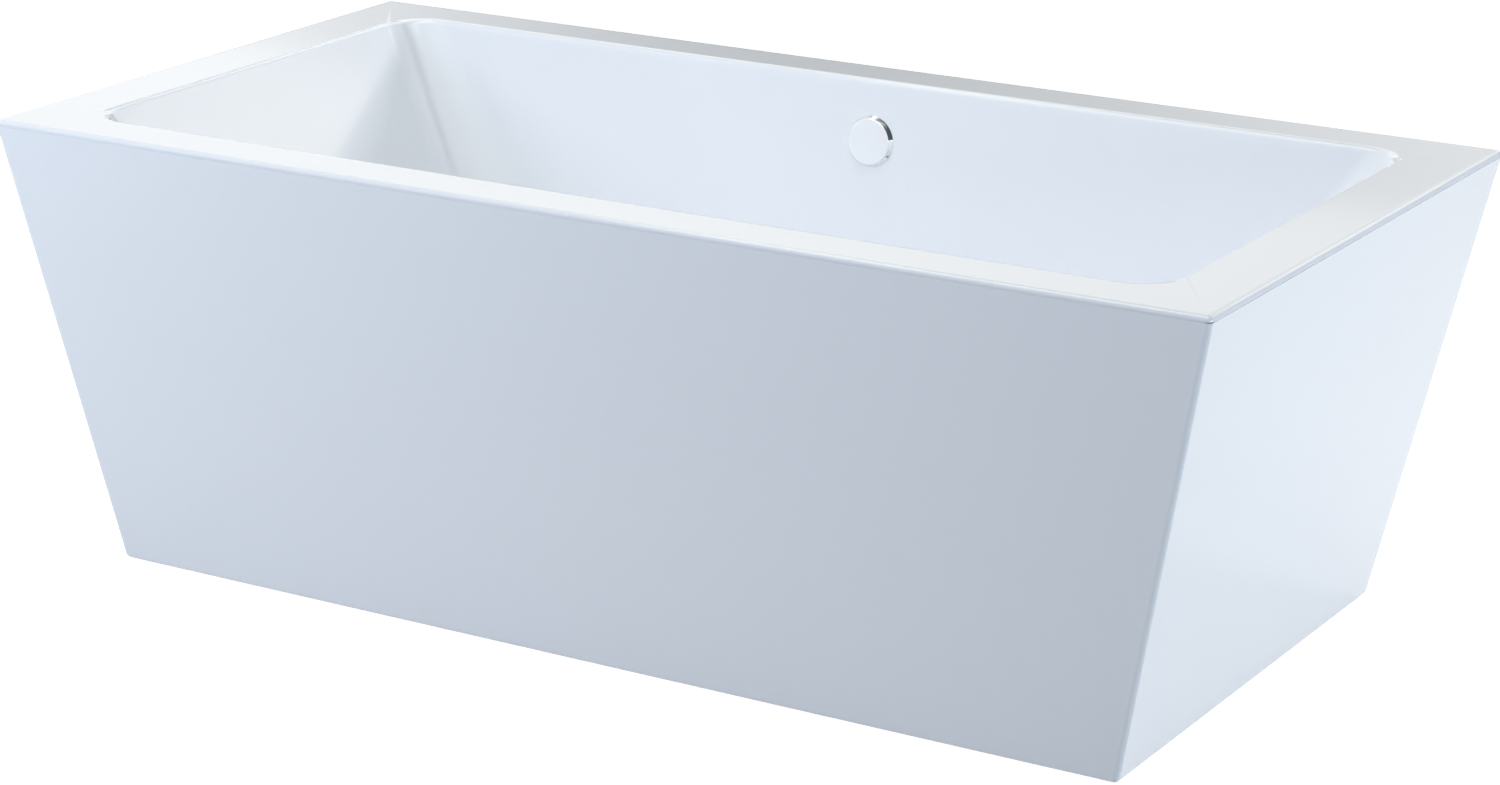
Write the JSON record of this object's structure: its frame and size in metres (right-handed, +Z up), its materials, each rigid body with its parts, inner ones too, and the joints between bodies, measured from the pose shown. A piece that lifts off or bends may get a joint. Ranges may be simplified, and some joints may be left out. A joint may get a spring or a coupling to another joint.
{
  "type": "freestanding bathtub",
  "caption": "Rectangular double-ended freestanding bathtub with a leaning skirt, levelling feet on a steel frame, a push-to-open drain and a piped overflow.",
  "frame": {"origin": "on the floor under the middle of the tub", "axes": "+X along the tub's length, +Y towards the long wall with the overflow, +Z up"},
  "size_m": [1.7, 0.85, 0.595],
  "materials": {
    "acrylic": "polished",
    "sealant": "matt",
    "board": "raw chipboard",
    "frame_steel": "satin",
    "black_plastic": "moulded",
    "zinc_steel": "zinc plated",
    "foot_rubber": "moulded",
    "chrome_plate": "mirror",
    "seal_rubber": "matt",
    "pipe_plastic": "moulded"
  },
  "bodies": {
    "tub": {"basin": "acrylic", "skirt": "acrylic", "bonding_bead": "sealant", "base_board": "board", "front_rail": "frame_steel", "back_rail": "frame_steel", "left_crossbar": "frame_steel", "right_crossbar": "frame_steel", "tube_end_plugs": "black_plastic", "frame_bolts": "zinc_steel", "frame_nuts": "zinc_steel", "board_screws": "zinc_steel", "foot_weld_nuts": "zinc_steel", "foot_jam_nuts": "zinc_steel", "drain_flange": "chrome_plate", "drain_gasket": "seal_rubber", "stopper_barrel": "zinc_steel", "stopper_spring": "zinc_steel", "waste_tee": "pipe_plastic", "tailpiece": "chrome_plate", "cross_pipe": "pipe_plastic", "lower_elbow": "pipe_plastic", "overflow_riser": "pipe_plastic", "overflow_elbow": "pipe_plastic", "overflow_gasket": "seal_rubber", "overflow_flange": "chrome_plate", "overflow_ring": "seal_rubber", "overflow_cap": "chrome_plate", "slip_nuts": "pipe_plastic", "slip_washers": "seal_rubber"},
    "stopper": {"stopper_cap": "chrome_plate", "stopper_seal": "seal_rubber", "stopper_plunger": "zinc_steel"},
    "pad_front_left": {"foot_pad_front_left": "foot_rubber"},
    "stem_front_left": {"foot_stem_front_left": "zinc_steel"},
    "pad_front_right": {"foot_pad_front_right": "foot_rubber"},
    "stem_front_right": {"foot_stem_front_right": "zinc_steel"},
    "pad_back_left": {"foot_pad_back_left": "foot_rubber"},
    "stem_back_left": {"foot_stem_back_left": "zinc_steel"},
    "pad_back_right": {"foot_pad_back_right": "foot_rubber"},
    "stem_back_right": {"foot_stem_back_right": "zinc_steel"}
  },
  "joints": [
    {"name": "stopper_lift", "type": "slide", "parent": "tub", "child": "stopper", "axis": [0, 0, 1], "range_m": [0, 0.009], "deforming": ["stopper_spring"]},
    {"name": "foot_front_left_height", "type": "slide", "parent": "tub", "child": "pad_front_left", "axis": [0, 0, 1], "range_m": [-0.017, 0.003]},
    {"name": "foot_front_left_turn", "type": "hinge", "parent": "pad_front_left", "child": "stem_front_left", "pos_m": [-0.502, -0.252, 0.05], "axis": [0, 0, 1], "range_deg": [-3500, 620]},
    {"name": "foot_front_right_height", "type": "slide", "parent": "tub", "child": "pad_front_right", "axis": [0, 0, 1], "range_m": [-0.017, 0.003]},
    {"name": "foot_front_right_turn", "type": "hinge", "parent": "pad_front_right", "child": "stem_front_right", "pos_m": [0.502, -0.252, 0.05], "axis": [0, 0, 1], "range_deg": [-3500, 620]},
    {"name": "foot_back_left_height", "type": "slide", "parent": "tub", "child": "pad_back_left", "axis": [0, 0, 1], "range_m": [-0.017, 0.003]},
    {"name": "foot_back_left_turn", "type": "hinge", "parent": "pad_back_left", "child": "stem_back_left", "pos_m": [-0.502, 0.252, 0.05], "axis": [0, 0, 1], "range_deg": [-3500, 620]},
    {"name": "foot_back_right_height", "type": "slide", "parent": "tub", "child": "pad_back_right", "axis": [0, 0, 1], "range_m": [-0.017, 0.003]},
    {"name": "foot_back_right_turn", "type": "hinge", "parent": "pad_back_right", "child": "stem_back_right", "pos_m": [0.502, 0.252, 0.05], "axis": [0, 0, 1], "range_deg": [-3500, 620]}
  ],
  "couplings": [
    {"joint": "foot_front_left_turn", "follows": "foot_front_left_height", "rad_per_m": 3590.4},
    {"joint": "foot_front_right_turn", "follows": "foot_front_right_height", "rad_per_m": 3590.4},
    {"joint": "foot_back_left_turn", "follows": "foot_back_left_height", "rad_per_m": 3590.4},
    {"joint": "foot_back_right_turn", "follows": "foot_back_right_height", "rad_per_m": 3590.4}
  ]
}
